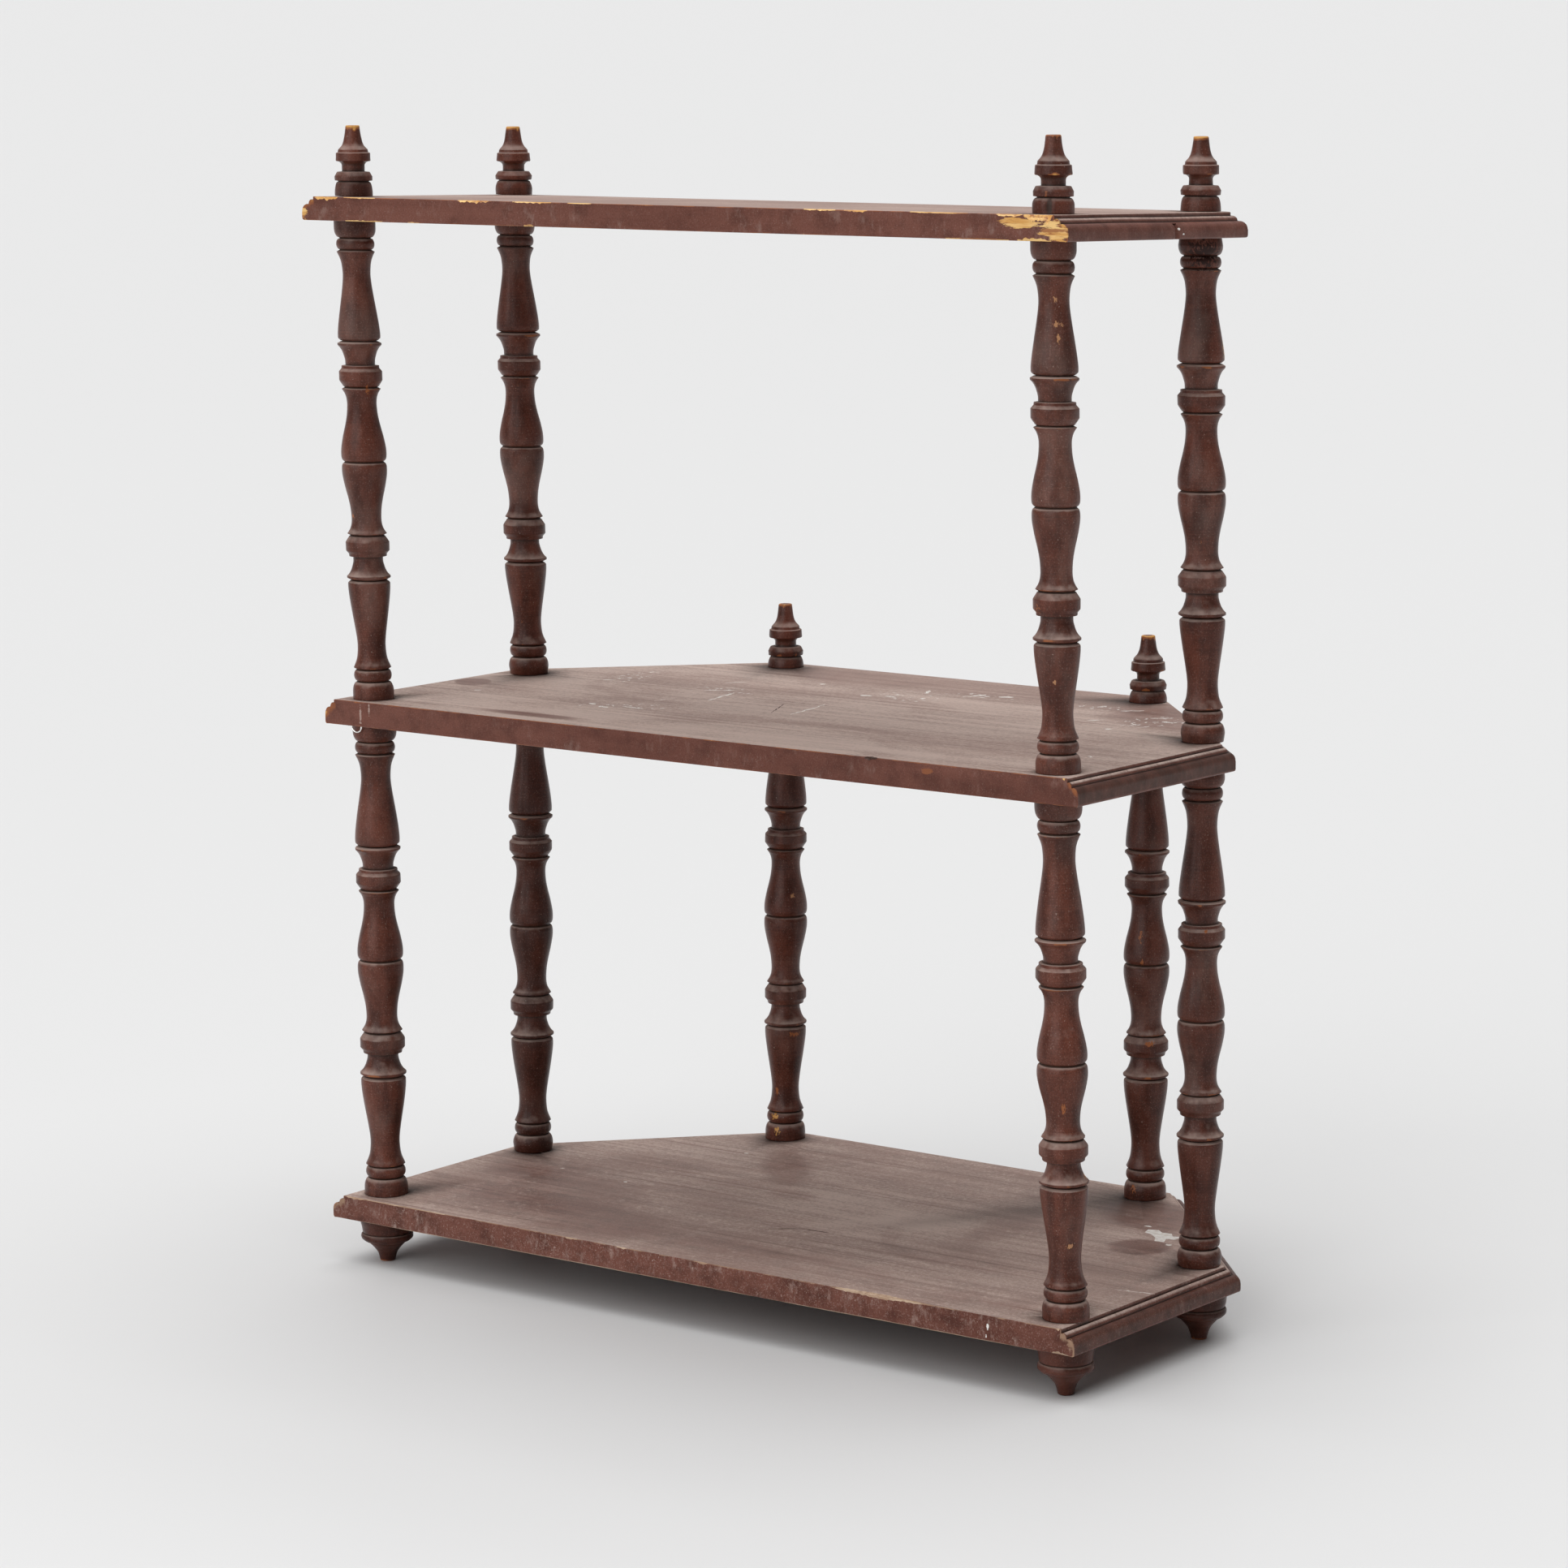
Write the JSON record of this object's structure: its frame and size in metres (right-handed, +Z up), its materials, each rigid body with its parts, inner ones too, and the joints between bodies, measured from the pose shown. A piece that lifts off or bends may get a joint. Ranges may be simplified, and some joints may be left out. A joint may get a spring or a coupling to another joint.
{
  "type": "wall shelf",
  "caption": "Open wall shelf of moulded boards stacked on turned columns, with finials above, drop feet below and a wire eye to hang it by.",
  "frame": {"origin": "on the floor under the middle of the shelf's outline, where it stands on its feet", "axes": "+Z up, +X to the right of someone who faces the front, +Y from the front to the wall side"},
  "size_m": [0.548, 0.311, 0.6896],
  "materials": {
    "shelf_paint": "worn reddish-brown paint on pine boards, dusty above, chipped to bare wood on the arrises",
    "column_paint": "semi-matt dark red-brown paint on turned wood, dust in the grooves",
    "finial_paint": "dark red-brown paint, tips and edges worn to orange wood",
    "foot_paint": "dark red-brown paint, dull with dust, tips worn",
    "staple_steel": "bright bent wire"
  },
  "bodies": {
    "root": {"bottom_shelf": "shelf_paint", "middle_shelf": "shelf_paint", "top_shelf": "shelf_paint", "lower_column_back_left": "column_paint", "lower_column_back_right": "column_paint", "lower_column_side_left": "column_paint", "lower_column_side_right": "column_paint", "lower_column_front_left": "column_paint", "lower_column_front_right": "column_paint", "upper_column_back_left": "column_paint", "upper_column_back_right": "column_paint", "upper_column_side_left": "column_paint", "upper_column_side_right": "column_paint", "top_finial_back_left": "finial_paint", "top_finial_back_right": "finial_paint", "top_finial_side_left": "finial_paint", "top_finial_side_right": "finial_paint", "finial_front_left": "finial_paint", "finial_front_right": "finial_paint", "foot_back_left": "foot_paint", "foot_back_right": "foot_paint", "foot_side_left": "foot_paint", "foot_side_right": "foot_paint", "foot_front_left": "foot_paint", "foot_front_right": "foot_paint", "hanging_staple": "staple_steel"}
  },
  "joints": []
}
